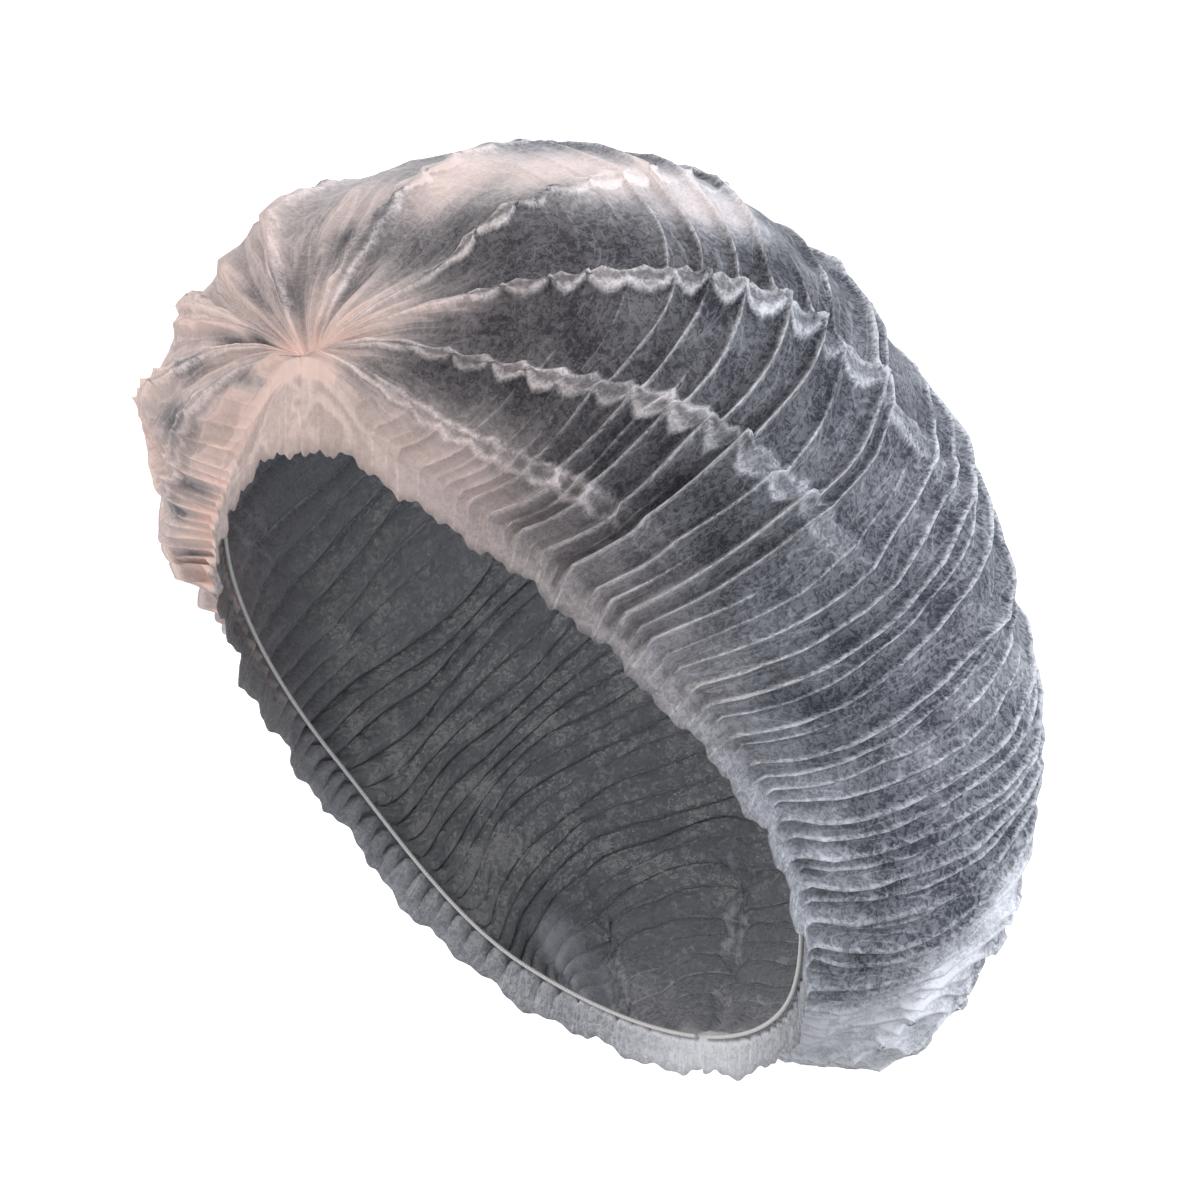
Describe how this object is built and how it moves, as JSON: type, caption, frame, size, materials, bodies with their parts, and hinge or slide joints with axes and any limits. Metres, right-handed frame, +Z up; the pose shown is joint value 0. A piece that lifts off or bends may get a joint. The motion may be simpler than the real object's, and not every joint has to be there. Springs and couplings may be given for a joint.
{
  "type": "bouffant cap",
  "caption": "Disposable bouffant cap in its worn form: a sheer pleated nonwoven sheet gathered by elastics into a full crown with a small frill round a tilted head opening.",
  "frame": {"origin": "middle of the head opening, where the elastics sit on the head", "axes": "+Z up, the face towards -Y, the wearer's left at +X; the opening leans 45 degrees, high at the forehead and low at the nape"},
  "size_m": [0.2047, 0.2103, 0.2388],
  "materials": {
    "nonwoven": "sheer matt white spunbond",
    "elastic": "matt white"
  },
  "bodies": {
    "root": {"pleated_sheet": "nonwoven", "left_elastic": "elastic", "right_elastic": "elastic"}
  },
  "joints": []
}
